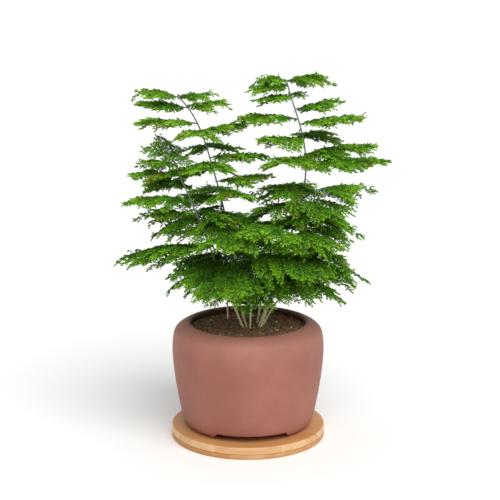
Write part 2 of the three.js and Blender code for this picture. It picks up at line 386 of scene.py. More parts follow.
class PotSettings(bpy.types.PropertyGroup):
    """Sizes and colours of the clay pot."""

    slot_height: length("Cut-out height", "Height of the openings between the feet", 6.2 * MM)
    slot_width: length("Cut-out width", "Width of each opening between the feet", 69.0 * MM)
    clay: colour("Clay", "The fired clay", (166, 106, 91))
    dark_clay: colour("Dark clay", "Smoked patches in the clay", (150, 94, 81))
    speck: colour("Speck", "Pale mineral specks", (186, 140, 120))
    # Painted light: this paler colour, mixed in high on the pot, stands in for light on the shoulder and lip,
    # not dried minerals.
    painted_shoulder_light: colour("Bloom", "Pale minerals dried on the shoulder and lip", (214, 172, 154))
    # Painted shade: this dark colour inside the lip stands in for the shadow in the pot's mouth, not a stain.
    painted_lip_shade: colour("Damp", "Clay stained by wet soil inside the lip", (62, 52, 44))
    screen: colour("Screen", "The plastic screen over the drain hole", (40, 42, 40))
    dark_screen: colour("Dark screen", "Mottling of the screen", (28, 30, 29))


class SoilSettings(bpy.types.PropertyGroup):
    """Sizes, amounts and colours of the soil."""

    crumbs: amount("Crumbs", "Loose crumbs of soil", 2000)
    perlite: amount("Perlite grains", "White mineral grains", 16)
    fibres: amount("Fibres", "Pale bits of root and straw", 260)
    bark: amount("Bark chips", "Reddish chips of bark", 170)
    earth: colour("Earth", "Moist peaty soil", (164, 132, 98))
    dark_earth: colour("Dark earth", "Soil in the hollows", (76, 61, 46))
    rust: colour("Bark", "Reddish bark", (146, 92, 62))
    white: colour("Perlite", "White mineral grains", (232, 218, 204))
    fibre: colour("Fibre", "Pale bits of root and straw", (176, 152, 112))


class BoardSettings(bpy.types.PropertyGroup):
    """Sizes and colours of the bamboo board."""

    strip_width: length("Strip width", "Width of one bamboo strip", 17.0 * MM)
    light: colour("Light bamboo", "The upper ply", (232, 199, 152))
    honey: colour("Honey bamboo", "Darker strips and the lower ply", (190, 130, 74))
    # Painted shade: the flat top of the board is darkened to this colour, not worn or oiled.
    painted_top_shade: colour("Worn bamboo", "The oiled top of the board", (186, 122, 62))


class StageSettings(bpy.types.PropertyGroup):
    """The floor, the lights and the lens."""

    floor: colour("Floor", "The plain pale floor", (250, 250, 249))
    key: FloatProperty(name="Key light", description="Strength of the broad main light", default=2.2)
    fill: FloatProperty(name="Fill light", description="Strength of the light from all round", default=0.6)
    lens: FloatProperty(
        name="Lens", description="Focal length on a 36 mm frame", default=93.76, unit="CAMERA")


# ---------------------------------------------------------------- materials


# Where the looks change, in metres: heights from the floor unless they say otherwise.
STRAW_ABOVE_SOIL = (0.02, 0.07)  # a cane turns from straw to green over these heights on it
PAINTED_LIGHT_HEIGHTS = (84 * MM, 112 * MM)  # painted light on the shoulder comes in from here up to the lip
LIP_SHADE_HEIGHTS = (98 * MM, 104 * MM)  # painted shade inside the lip comes in over these heights
LIP_RADII = (56 * MM, 58 * MM)  # from the inside of the lip to its crest
BOARD_TOP = (11.2 * MM, 11.9 * MM)  # painted shade on the flat top comes in over the edge's rounding


def leaf_material(fern):
    """Green by the leaf's own map: across it runs the age of the growth, from old deep green
    to pale new tips, with the stems at the very start, and up it a small swing in hue, which
    ends in the brown of a withered branch."""
    shader = Shader("leaf", roughness=0.6, specular=0.15)
    place = shader.node("ShaderNodeUVMap", {"uv_map": BAKE_MAP})
    age, hue = shader.axis(place, 0), shader.axis(place, 1)
    stops = [
        (0.0, fern.stem), (0.07, fern.stem), (0.1, fern.deep), (0.34, fern.deep), (0.56, fern.middle),
        (0.78, fern.bright), (0.93, fern.pale), (1.0, fern.pale),
    ]
    green = shader.ramp(age, stops)
    sockets = {"Hue": 0.49 + hue * 0.022, "Saturation": 1.0, "Value": 0.84 + hue * 0.32, "Color": green}
    varied = shader.node("ShaderNodeHueSaturation", None, sockets)
    return shader.finish(shader.mix(hue.step(0.95, 0.97) * 0.7, varied, fern.dry))


def cane_material(fern, foot):
    """Pale straw at the soil, grey-green above, with fine streaks along the cane."""
    shader = Shader("cane", roughness=0.45)
    height = shader.axis(shader.place(), 2)
    climb = height.step(*(foot + rise for rise in STRAW_ABOVE_SOIL))
    streaks = shader.noise(220.0, 3.0, vector=shader.stretched((8, 8, 0.6)))
    body = shader.mix(climb, fern.straw, fern.cane)
    shaded = shader.mix(streaks.step(0.4, 0.8) * 0.25, body, darker(fern.cane, 0.5))
    return shader.finish(shaded, height=streaks, depth=0.25, distance=0.2 * MM)


def clay_material(pot):
    """Unglazed clay: broad smoky clouds, fine mineral specks, painted light paling the shoulder
    and lip, painted shade darkening the inside of the lip, and faint rings from the wheel."""
    shader = Shader("clay", specular=0.35)
    clouds = shader.noise(16.0, 5.0, 0.6)
    grain = shader.noise(900.0, 3.0, 0.6)
    fine = shader.noise(160.0, 4.0, 0.6)
    body = shader.mix(clouds.step(0.32, 0.72), pot.dark_clay, pot.clay)
    body = shader.mix(fine.step(0.35, 0.75) * 0.28, body, pot.dark_clay)
    specks = 1.0 - shader.cells(520.0).step(0.06, 0.16)
    body = shader.mix(specks * 0.4, body, pot.speck)
    x, y, height = (shader.axis(shader.place(), k) for k in range(3))
    # Painted light: the clay is made paler towards the shoulder and lip.
    painted_light_share = height.step(*PAINTED_LIGHT_HEIGHTS)
    body = shader.mix(painted_light_share * (0.05 + clouds * 0.12), body, pot.painted_shoulder_light)
    # Painted shade: the inside of the lip is darkened as if in shadow.
    inside = 1.0 - ((x * x + y * y) ** 0.5).step(*LIP_RADII)
    body = shader.mix(inside * height.step(*LIP_SHADE_HEIGHTS) * 0.8, body, pot.painted_lip_shade)
    rings = shader.noise(70.0, 2.0, vector=shader.stretched((0.12, 0.12, 5.0)))
    relief = grain * 0.5 + fine * 0.35 + rings * 0.5
    return shader.finish(body, 0.5 + clouds * 0.2, relief, 0.35, 0.25 * MM)


def earth_material(soil):
    """Dark moist soil, lighter on its lumps and redder in patches."""
    shader = Shader("earth", roughness=0.92, specular=0.2)
    lumps = shader.noise(420.0, 5.0, 0.65)
    patches = shader.noise(60.0, 3.0)
    body = shader.mix(lumps.step(0.36, 0.66), soil.dark_earth, soil.earth)
    body = shader.mix(patches.step(0.5, 0.8) * 0.5, body, soil.rust)
    return shader.finish(body, height=lumps, depth=0.8, distance=0.8 * MM)


def chip_material(name, main, other, rough):
    """A loose grain's own colour, mottled with a second one."""
    shader = Shader(name, roughness=rough)
    mottle = shader.noise(700.0, 4.0, 0.6)
    body = shader.mix(mottle.step(0.35, 0.7), main, other)
    return shader.finish(body, height=mottle, depth=0.5, distance=0.3 * MM)


def bamboo_material(board, name, turn, warmth):
    """Bamboo laid in strips: each strip has its own tone, fine fibres run along it, and the
    board's flat top is painted darker than its sides, as painted shade."""
    shader = Shader(name, specular=0.4)
    along = shader.stretched((1, 1, 1), turn)
    across = shader.axis(along, 1) / board.strip_width
    strip = across.math("FLOOR")
    seed = shader.node("ShaderNodeCombineXYZ", None, {"X": strip * 7.3, "Y": 0.5, "Z": 0.0})
    tone = shader.node("ShaderNodeTexWhiteNoise", {"noise_dimensions": "3D"}, {"Vector": seed})
    fibres = shader.noise(260.0, 4.0, 0.6, vector=shader.stretched((0.035, 1.0, 1.0), turn))
    broad = shader.noise(60.0, 2.0, vector=shader.stretched((0.25, 1.0, 1.0), turn))
    edge = (across - strip - 0.5).math("ABSOLUTE")
    gap = edge.step(0.485, 0.497)
    top = shader.axis(shader.place(), 2).step(*BOARD_TOP)
    share = (tone * 0.55 + fibres * 0.75 + broad * 0.35 - 0.42 + warmth).clamped()
    body = shader.mix(share, board.light, board.honey)
    body = shader.mix(gap * 0.12, body, darker(board.honey, 0.55))
    # Painted shade: the flat top darkened against the sides.
    body = shader.mix(top * 0.68, body, board.painted_top_shade)
    height = fibres * 0.4 - gap * 0.3
    return shader.finish(body, 0.38 + fibres * 0.2, height, 0.3, 0.2 * MM)


# ---------------------------------------------------------------- board


PLY_SIDES = 192
OUTER_EASE = 1.6 * MM  # the rounding of the board's two outer edges
GLUED_EASE = 0.35 * MM  # and that of the edges at the glue line

# For each ply its slot, how far its strips are turned, how much darker or paler it is than the
# middle tone, and the roundings of its lower and upper edge.
PLIES = {
    "board_lower_ply": ("bamboo_lower", math.pi / 2, 0.62, OUTER_EASE, GLUED_EASE),
    "board_upper_ply": ("bamboo_upper", 0.0, -0.08, GLUED_EASE, OUTER_EASE),
}


def ply_profile(low, high, radius, ease_low, ease_high):
    """Half the section of a round ply: a straight edge with a quarter-round at each corner, and
    flat faces from 0.94 to 0.04 of the radius."""
    turn = np.linspace(0, np.pi / 2, 6)
    foot = [radius - ease_low + ease_low * np.sin(turn), low + ease_low - ease_low * np.cos(turn)]
    head = [radius - ease_high + ease_high * np.cos(turn), high - ease_high + ease_high * np.sin(turn)]
    inward = np.linspace(0.94, 0.04, 8) * radius
    under = np.stack([inward[::-1], np.full(8, low)], -1)
    over = np.stack([inward, np.full(8, high)], -1)
    return np.vstack([under, np.stack(foot, -1), np.stack(head, -1), over])


class FERN_OT_board(bpy.types.Operator):
    """Makes the round board of two bamboo plies, laid crosswise and glued"""

    bl_idname = "fern.board"
    bl_label = "Bamboo board"

    def execute(self, context):
        board = context.scene.fern_board
        for node, (slot, turn, warmth, ease_low, ease_high) in PLIES.items():
            low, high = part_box(node)
            profile = ply_profile(low.z, high.z, high.x, ease_low, ease_high)
            points, faces = skin(turned(profile, PLY_SIDES))
            piece = node.replace("board_", "bamboo_")
            material = bamboo_material(board, piece, turn, warmth)
            make_piece(piece, points, faces, material, (node,))
        return {"FINISHED"}


# ---------------------------------------------------------------- pot

# Sections of the pot as [radius, height above its foot] in millimetres.
POT_OUTSIDE = [
    [57.5, 0], [60.4, 1.8], [62.6, 4.5], [65, 12], [67.7, 25], [70.9, 44], [73.3, 66], [73.6, 80],
    [72.3, 91], [69.8, 96], [65, 99.6], [60, 101.8], [57.4, 102.1], [55.8, 101.2], [55.5, 99.6],
    [57.4, 97], [62.5, 93],
]
POT_INSIDE = [[62.5, 93], [66.3, 85], [67, 74], [65.5, 55], [62, 33], [57, 18], [50, 12.7]]
DRAIN_RADIUS = 9.0
HOLE_EASE = 0.8  # the rounding of the drain hole's edges
RECESS_RADIUS = 47.5
RECESS_HEIGHT = 6.5
FOOT_INNER_RADIUS = 48.5
POT_SIDES = 240

FEET = 3
SLOT_TURN = math.radians(3.6)  # the front opening is this far round from -Y
SLOT_SLANT = 3.2 * MM  # how far the side of an opening leans in from foot to top
SLOT_FLARE = 1.2 * MM  # how far it starts outside the stated width


def pot_profile():
    """The pot's whole section as one closed line: up the outside, over the lip, down the
    inside, across the floor, through the drain hole and out under the recess to the foot."""
    floor = POT_INSIDE[-1][1]
    outside = smooth_line(POT_OUTSIDE, 96)
    inside = smooth_line(POT_INSIDE, 34)[1:]
    across = np.stack([np.linspace(47, DRAIN_RADIUS + HOLE_EASE, 10), np.full(10, floor)], -1)
    hole = [
        [DRAIN_RADIUS, floor - HOLE_EASE], [DRAIN_RADIUS, RECESS_HEIGHT + HOLE_EASE],
        [DRAIN_RADIUS + HOLE_EASE, RECESS_HEIGHT],
    ]
    under = np.stack([np.linspace(12, RECESS_RADIUS - 0.6, 8), np.full(8, RECESS_HEIGHT)], -1)
    foot = [
        [RECESS_RADIUS, RECESS_HEIGHT - 0.6], [FOOT_INNER_RADIUS, 0.6],
        [FOOT_INNER_RADIUS + 0.7, 0.0], [52, 0.0], [55, 0.0],
    ]
    return np.vstack([outside, inside, across, hole, under, foot]) * MM


class FERN_OT_pot(bpy.types.Operator):
    """Turns the clay pot, with three openings cut up into its foot ring"""

    bl_idname = "fern.pot"
    bl_label = "Clay pot"

    def execute(self, context):
        pot = context.scene.fern_pot
        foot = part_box("pot")[0].z
        rings = turned(pot_profile(), POT_SIDES)
        angle = np.arctan2(rings[..., 1], rings[..., 0])
        # How far each point lies from the middle of the nearest opening, measured straight across.
        turn = 2 * np.pi / FEET
        off = (angle + np.pi / 2 - SLOT_TURN + turn / 2) % turn - turn / 2
        across = np.abs(np.hypot(rings[..., 0], rings[..., 1]) * np.sin(off))
        slanted = pot.slot_width / 2 + SLOT_FLARE
        lift = pot.slot_height * (1 - smoothstep(across, slanted - SLOT_SLANT, slanted))
        rings[..., 2] = np.maximum(rings[..., 2], lift)
        rings[..., 2] += foot
        points, faces = skin(rings, closed=True)
        make_piece("clay_pot", points, faces, clay_material(pot), ("pot",))
        return {"FINISHED"}


class FERN_OT_drain_mesh(bpy.types.Operator):
    """Gives the plastic screen over the drain hole its finish"""

    bl_idname = "fern.drain_mesh"
    bl_label = "Drain mesh"

    def execute(self, context):
        pot = context.scene.fern_pot
        material = chip_material("screen_plastic", pot.screen, pot.dark_screen, 0.55)
        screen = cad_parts["drain_mesh"]
        screen.data.materials.clear()
        screen.data.materials.append(material)
        return {"FINISHED"}


# ---------------------------------------------------------------- soil and crown


SOIL_SIDES = 160
SOIL_RADIUS = 56.6  # in millimetres, where it meets the inside of the lip
STREWN_RADIUS = 54.5 * MM
WALL_GAP = 0.35 * MM  # between the soil and the pot's wall

# Large white grains beside the canes: x, y and radius in millimetres.
BIG_GRAINS = [(18, 9, 1.7), (28, 13, 1.9)]


def soil_height(x, y, top):
    """The soil's surface: a bell-shaped mound 0.7 mm high round the canes, a smooth fall of
    1 mm from 30 to 60 mm out, and coarse and fine ripples."""
    radius = np.hypot(x - 4 * MM, y + 3 * MM)
    mound = 0.7 * MM * np.exp(-((radius / (22 * MM)) ** 2)) - 1.0 * MM * smoothstep(radius, 30 * MM, 60 * MM)
    lumps = 0.55 * MM * ripple(x, y, 11, 26 * MM, 4) + 0.35 * MM * ripple(x, y, 12, 6 * MM, 3)
    return top + mound + lumps


def grains(rng, places, sizes, squash):
    """Small lumpy stones: a twelve-cornered ball at each place, with its corners moved in and
    out, squashed, tilted and turned at random. The corners are those of an icosahedron, three
    golden rectangles, and its faces are all sets of three corners that lie next to each other."""
    golden = (1 + 5**0.5) / 2
    ball = np.array([(0, s, t * golden) for s in (-1, 1) for t in (-1, 1)])
    ball = np.vstack([ball, ball[:, [2, 0, 1]], ball[:, [1, 2, 0]]]) / math.hypot(1, golden)
    gap = np.linalg.norm(ball[:, None] - ball[None], axis=-1)
    near = gap < 1.2  # neighbours are 1.05 apart, and the others at least 1.7
    i, j, k = np.meshgrid(*[np.arange(12)] * 3, indexing="ij")
    whole = near[i, j] & near[j, k] & near[i, k] & (i < j) & (j < k)
    tri = np.stack([i[whole], j[whole], k[whole]], -1)
    a, b, c = (ball[tri[:, corner]] for corner in range(3))
    inward = (np.cross(b - a, c - a) * a).sum(-1) < 0
    tri[inward] = tri[inward][:, ::-1]
    count = len(places)
    shape = ball[None] * rng.uniform(0.75, 1.2, (count, 12, 1)) * np.stack(
        [np.ones(count), rng.uniform(0.6, 1.0, count), rng.uniform(*squash, count)], -1)[:, None]
    turn, tilt = rng.uniform(0, 2 * np.pi, count), rng.normal(0, 0.45, count)
    x, y, z = np.moveaxis(shape, -1, 0)
    c, s = np.cos(tilt)[:, None], np.sin(tilt)[:, None]
    y, z = y * c - z * s, y * s + z * c
    c, s = np.cos(turn)[:, None], np.sin(turn)[:, None]
    lump = np.stack([x * c - y * s, x * s + y * c, z], -1) * sizes[:, None, None]
    points = (places[:, None] + lump).reshape(-1, 3)
    faces = (tri[None] + 12 * np.arange(count)[:, None, None]).reshape(-1, 3)
    return points, [faces]


def on_soil(x, y, top):
    """The points of the soil's surface at x and y."""
    return np.stack([x, y, soil_height(x, y, top)], -1)


def scatter(rng, count, reach, top):
    """Random places on the soil's surface, evenly by area within a radius, which takes the
    square root of an even draw."""
    radius = reach * np.sqrt(rng.uniform(0, 1, count))
    angle = rng.uniform(0, 2 * np.pi, count)
    return on_soil(radius * np.cos(angle), radius * np.sin(angle), top)


class FERN_OT_soil(bpy.types.Operator):
    """Fills the pot with soil, and strews it with crumbs, bark and white grains"""

    bl_idname = "fern.soil"
    bl_label = "Soil"

    def execute(self, context):
        soil = context.scene.fern_soil
        low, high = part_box("soil")
        inner = smooth_line(POT_INSIDE, 30) * MM + [-WALL_GAP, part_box("pot")[0].z]
        wall = inner[::-1][2:]
        floor = np.stack([np.linspace(4 * MM, wall[0, 0] - 2 * MM, 8), np.full(8, low.z + 1.8 * MM)], -1)
        reach = np.linspace(SOIL_RADIUS, 1.0, 84)[:, None] * MM
        surface = turned(np.hstack([reach, np.full_like(reach, high.z)]), SOIL_SIDES)
        surface[..., 2] = soil_height(surface[..., 0], surface[..., 1], high.z)
        rings = np.concatenate([turned(np.vstack([floor, wall]), SOIL_SIDES), surface])
        points, faces = skin(rings)
        earth = earth_material(soil)
        make_piece("soil_body", points, faces, earth, ("soil",))
        rng = np.random.default_rng(5)
        bark = chip_material("bark", soil.rust, soil.earth, 0.85)
        fibre = chip_material("fibre", soil.fibre, soil.earth, 0.8)
        perlite = chip_material("perlite", soil.white, darker(soil.white, 0.8), 0.8)
        # The piece, how many, their radius in millimetres, how flat they are, and their finish.
        kinds = [
            ("soil_crumbs", soil.crumbs, (0.5, 1.5), (0.5, 0.9), earth),
            ("soil_bark", soil.bark, (0.9, 2.4), (0.22, 0.4), bark),
            ("soil_fibres", soil.fibres, (0.8, 2.2), (0.12, 0.25), fibre),
            ("soil_perlite", soil.perlite, (0.8, 1.9), (0.7, 1.0), perlite),
        ]
        for name, count, size, squash, material in kinds:
            places = scatter(rng, count, STREWN_RADIUS, high.z)
            sizes = rng.uniform(*size, count) * MM
            if name == "soil_perlite":
                x, y, radius = (np.array(BIG_GRAINS) * MM).T
                places = np.vstack([places, on_soil(x, y, high.z)])
                sizes = np.append(sizes, radius)
            points, faces = grains(rng, places, sizes, squash)
            make_piece(name, points, faces, material)
        return {"FINISHED"}


class FERN_OT_crown(bpy.types.Operator):
    """Makes the woody crown in the soil, at the foot of the canes"""

    bl_idname = "fern.crown"
    bl_label = "Crown"

    def execute(self, context):
        fern = context.scene.fern_plant
        low, high = (np.array(corner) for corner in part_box("root_crown"))
        middle, half = (low + high) / 2, (high - low) / 2
        turn = np.arange(96) * (2 * np.pi / 96)
        rise = np.linspace(-np.pi / 2, np.pi / 2, 50)[1:-1, None]
        # A ball whose radius swells and dips with sine waves that wind round it.
        knobs = 1 + 0.07 * np.sin(5 * turn + 2 * rise) + 0.05 * np.sin(9 * turn - 5 * rise)
        knobs = knobs + 0.03 * np.sin(17 * turn + 8 * rise)
        ball = [np.cos(rise) * np.cos(turn), np.cos(rise) * np.sin(turn), np.sin(rise) + 0 * turn]
        rings = middle + np.stack(ball, -1) * knobs[..., None] * half * [0.86, 0.86, 1.0]
        points, faces = skin(rings)
        material = chip_material("crown_bark", fern.crown, fern.dark_crown, 0.8)
        make_piece("woody_crown", points, faces, material, ("root_crown",))
        return {"FINISHED"}


# ---------------------------------------------------------------- canes


JOINT_PITCH = 17 * MM  # along a cane
BURIED = 2.5 * MM  # how far a cane goes on below its solid's foot


def cane_line(name):
    """The middle line of a cane's solid, as a function of height, and its lowest and highest
    point: x and y are polynomials of height, of the sixth degree, fitted to its corners."""
    points = node_points(name)
    low, high = points[:, 2].min(), points[:, 2].max()
    share = (points[:, 2] - low) / (high - low)
    fits = [np.polyfit(share, points[:, k], 6) for k in (0, 1)]

    def at(height):
        t = np.clip((np.asarray(height) - low) / (high - low), 0, 1)
        return np.stack([np.polyval(fits[0], t), np.polyval(fits[1], t), low + t * (high - low)], -1)

    return at, low, high


def sweep(line, radius, sides):
    """Rings of a rod: a circle of the given radius carried along a line of points, square to
    the line's slope at each. Where the line starts with a point twice, the slope there is that
    of the next point."""
    slope = np.gradient(line, axis=0)
    if not slope[0].any():
        slope[0] = slope[1]
    ring = circles_round(unit(slope), (0.12, 1.0, 0.07), sides)
    return line[:, None] + ring * np.asarray(radius)[:, None, None]


class FERN_OT_canes(bpy.types.Operator):
    """Grows the wiry canes, each with a slight joint and a dry spur every two centimetres or so"""

    bl_idname = "fern.canes"
    bl_label = "Canes"

    def execute(self, context):
        fern = context.scene.fern_plant
        names = sorted(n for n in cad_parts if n.startswith("cane_"))
        foot = min(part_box(n)[0].z for n in names)
        material = cane_material(fern, foot)
        for order, name in enumerate(names):
            at, low, high = cane_line(name)
            rng = np.random.default_rng(100 + order)
            share = np.linspace(0, 1, 150)
            line = at(low + share * (high - low))
            line[0, 2] -= BURIED
            joints = (high - low) / JOINT_PITCH
            swell = np.exp(-(((share * joints) % 1 - 0.5) / 0.045) ** 2)
            radius = fern.cane_radius + (fern.cane_tip_radius - fern.cane_radius) * share
            radius = radius * (1 + 0.13 * swell)
            stalk = skin(sweep(line, radius, 12))
            points, faces = joined([stalk, spurs(at, low, high, int(joints), rng)])
            make_piece(name.replace("cane_", "stalk_"), points, faces, material, (name,))
        return {"FINISHED"}


def spurs(at, low, high, count, rng):
    """Small dry spurs spaced evenly up a cane, about one to a joint, which point out any way
    and a little down."""
    share = (np.arange(count) + 0.5) / max(count, 1) * 0.98
    start = at(low + share * (high - low))
    turn = rng.uniform(0, 2 * np.pi, count)
    out = np.stack([np.cos(turn), np.sin(turn), np.full(count, -0.35)], -1)
    return spindles(start, out * 3.2 * MM, np.full(count, 0.5 * MM))


def joined(parts):
    """Several (points, faces) sets as one."""
    points, faces, start = [], [], 0
    for some, groups in parts:
        points.append(some)
        faces += [group + start for group in groups]
        start += len(some)
    return np.vstack(points), faces


# ---------------------------------------------------------------- fronds


def spindles(start, reach, radius):
    """Thin closed leaves: from each start a spindle runs along reach, with a three-cornered
    waist two fifths of the way along. Returns five corners and six faces for each."""
    waist = circles_round(unit(reach), (0.31, 0.21, 0.93), 3)
    middle = (start + 0.4 * reach)[:, None] + waist * radius[:, None, None]
    points = np.concatenate([start[:, None], (start + reach)[:, None], middle], 1).reshape(-1, 3)
    pattern = np.array([[0, 2, 3], [0, 3, 4], [0, 4, 2], [1, 3, 2], [1, 4, 3], [1, 2, 4]])
    faces = (pattern[None] + 5 * np.arange(len(start))[:, None, None]).reshape(-1, 3)
    return points, [faces]


TIP = 1.2 * MM  # half the width of a frond at its very ends
RIB_END = 2.4 * MM  # the corners of a frond's solid this near its cane make its inner end
RIB_ROUND = 2 * MM  # how wide the ridge of a domed frond is rounded
BRANCH_RADIUS = 0.34 * MM
TWIG_RADIUS = 0.2 * MM


def half_width(share, width):
    """Half the width of a frond at a share of its length: it swells over the first quarter, and
    narrows as the three-quarter power of the length that is left."""
    swell = smoothstep(share, 0.02, 0.28)
    taper = np.clip(1 - share, 0, 1) ** 0.75
    return TIP + (width / 2 - TIP) * swell * taper * 1.25


class Lie:
    """How a frond lies: the root of its rib in the cane, the base where it comes out, which way
    it runs, its length and width, and the shape of its surface as rise, sag, dome and roll."""

    def __init__(self, root, base, way, size, width, shape):
        self.root, self.base, self.length, self.width, self.shape = root, base, size, width, shape
        self.along = np.array([way[0], way[1], 0.0])
        self.side = np.cross(self.along, UP)

    @classmethod
    def grown(cls, cane, height, turn, size, width, rise, sag, roll):
        """A frond that leaves a cane at a height. Its angles are in degrees, and its edges droop
        by 0.28 of their distance from the rib."""
        root = cane_line("cane_" + cane)[0](height)
        angle = math.radians(turn)
        lift = math.tan(math.radians(rise)) * size
        shape = (lift, -sag, -0.28, -math.tan(math.radians(roll)))
        return cls(root, root, (math.cos(angle), math.sin(angle)), size, width, shape)

    @classmethod
    def read(cls, name):
        """A frond in the place of a solid. The base is the middle of the solid's end on the cane,
        it runs to the farthest corner, and the height of the corners is fitted by least squares
        with a constant, s, s^2, |t| and t, for s along the rib and t across it."""
        points = node_points(name)
        at = cane_line("cane_" + name[len("spray_"):].rsplit("_", 1)[0])[0]
        near = np.linalg.norm(points - at(points[:, 2]), axis=1)
        ring = points[np.linalg.norm(points - points[near.argmin()], axis=1) < RIB_END]
        base = ring.mean(0)
        run = points[:, :2] - base[:2]
        run = run[np.linalg.norm(run, axis=1).argmax()]
        size = float(np.linalg.norm(run))
        way = run / size
        s = (points - base)[:, :2] @ way / size
        t = (points - base)[:, :2] @ np.array([way[1], -way[0]])
        terms = np.stack([np.ones_like(s), s, s * s, np.abs(t), t], -1)
        fit = np.linalg.lstsq(terms, points[:, 2] - base[2], rcond=None)[0]
        return cls(at(base[2]), base, way, size, 2 * float(np.abs(t).max()), fit[1:])

    def bend(self, local):
        """Carries flat frond coordinates (along, across, above) onto the frond's own surface,
        rise s + sag s^2 + dome |t| + roll t above its base, with |t| rounded over the rib."""
        s, t, h = local[..., 0] / self.length, local[..., 1], local[..., 2]
        rise, sag, dome, roll = self.shape
        edge = np.sqrt(t * t + RIB_ROUND**2) - RIB_ROUND
        lift = rise * s + sag * s * s + dome * edge + roll * t + h
        flat = self.along * local[..., :1] + self.side * t[..., None]
        return self.base + flat + UP * lift[..., None]


def offspring(counts):
    """From each parent's number of children: every child's parent, its share of the way along
    it, evenly spaced, and its number there."""
    owner = np.repeat(np.arange(len(counts)), counts)
    order = np.arange(counts.sum()) - np.repeat(np.cumsum(counts) - counts, counts)
    return owner, (order + 0.5) / counts[owner], order


def turn_flat(direction, angle):
    """Directions in the frond's plane, turned by an angle."""
    c, s = np.cos(angle), np.sin(angle)
    x, y = direction[:, 0], direction[:, 1]
    return np.stack([x * c - y * s, x * s + y * c], -1)


